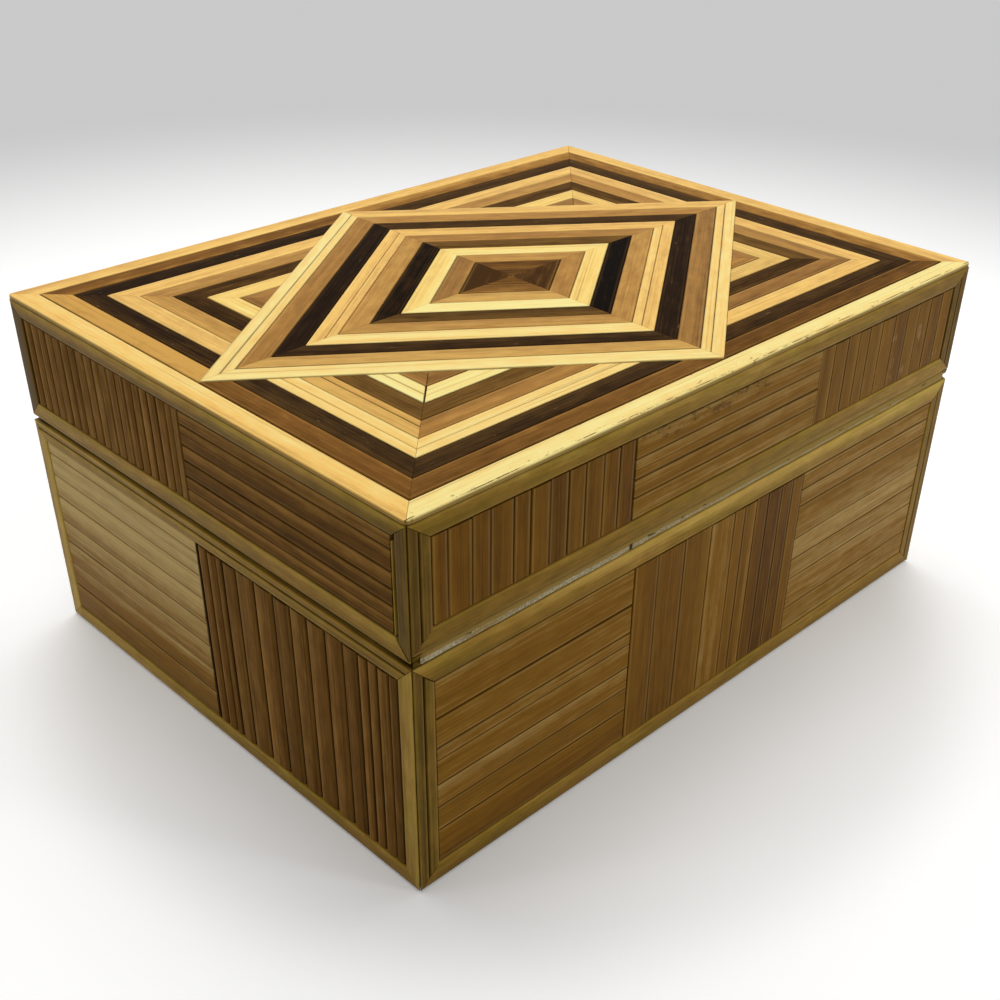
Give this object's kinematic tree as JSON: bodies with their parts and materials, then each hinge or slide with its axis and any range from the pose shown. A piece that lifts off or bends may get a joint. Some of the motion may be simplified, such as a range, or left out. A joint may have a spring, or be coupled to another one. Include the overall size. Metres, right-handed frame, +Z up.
{
  "type": "inlaid trinket box",
  "caption": "Rectangular wooden trinket box covered in split-straw marquetry, with a diamond pattern on a lid that opens on a cloth hinge.",
  "frame": {"origin": "centre of the underside of the base", "axes": "+Z up; +X along the box's length; +Y towards the hinge at the back"},
  "size_m": [0.1524, 0.1144, 0.073],
  "materials": {
    "case_wood": "bare, fine-sawn",
    "lining_cloth": "woven, matt",
    "hinge_cloth": "woven, slightly shiny",
    "straw_olive": "satin split straw",
    "straw_honey": "satin split straw",
    "straw_umber": "satin split straw",
    "straw_pale": "satin split straw",
    "straw_cream": "satin split straw",
    "straw_tan": "satin split straw",
    "straw_chestnut": "satin split straw",
    "straw_black": "satin split straw",
    "straw_dark": "satin split straw"
  },
  "bodies": {
    "base": {"base_bottom_board": "case_wood", "base_front_wall": "case_wood", "base_back_wall": "case_wood", "base_left_wall": "case_wood", "base_right_wall": "case_wood", "base_floor_lining": "lining_cloth", "base_front_frame": "straw_olive", "base_front_outer_panels": "straw_honey", "base_front_middle_panel": "straw_honey", "base_back_frame": "straw_olive", "base_back_outer_panels": "straw_honey", "base_back_middle_panel": "straw_honey", "base_left_frame": "straw_olive", "base_left_front_panel": "straw_umber", "base_left_back_panel": "straw_honey", "base_right_frame": "straw_olive", "base_right_front_panel": "straw_honey", "base_right_back_panel": "straw_umber", "hinge_cloth_base_leaf": "hinge_cloth", "hinge_cloth_fold": "hinge_cloth"},
    "lid": {"hinge_cloth_lid_leaf": "hinge_cloth", "lid_top_board": "case_wood", "lid_front_wall": "case_wood", "lid_back_wall": "case_wood", "lid_left_wall": "case_wood", "lid_right_wall": "case_wood", "lid_lining": "lining_cloth", "lid_front_frame": "straw_olive", "lid_front_outer_panels": "straw_honey", "lid_front_middle_panel": "straw_honey", "lid_back_frame": "straw_olive", "lid_back_outer_panels": "straw_honey", "lid_back_middle_panel": "straw_honey", "lid_left_frame": "straw_olive", "lid_left_front_panel": "straw_umber", "lid_left_back_panel": "straw_umber", "lid_right_frame": "straw_olive", "lid_right_front_panel": "straw_umber", "lid_right_back_panel": "straw_umber", "top_border": "straw_pale", "top_band_chestnut": "straw_chestnut", "top_band_black": "straw_black", "top_band_pale": "straw_pale", "top_band_tan": "straw_tan", "top_band_dark": "straw_dark", "top_band_cream": "straw_cream", "top_corner_triangles": "straw_tan", "diamond_band_1_pale": "straw_pale", "diamond_band_2_tan": "straw_tan", "diamond_band_3_black": "straw_black", "diamond_band_4_pale": "straw_pale", "diamond_band_5_tan": "straw_tan", "diamond_band_6_dark": "straw_dark", "diamond_band_7_cream": "straw_cream", "diamond_band_8_tan": "straw_tan", "diamond_centre": "straw_umber"}
  },
  "joints": [
    {"name": "lid_hinge", "type": "hinge", "parent": "base", "child": "lid", "pos_m": [0, 0.0565, 0.0476], "axis": [-1, 0, 0], "range_deg": [0, 115]}
  ]
}
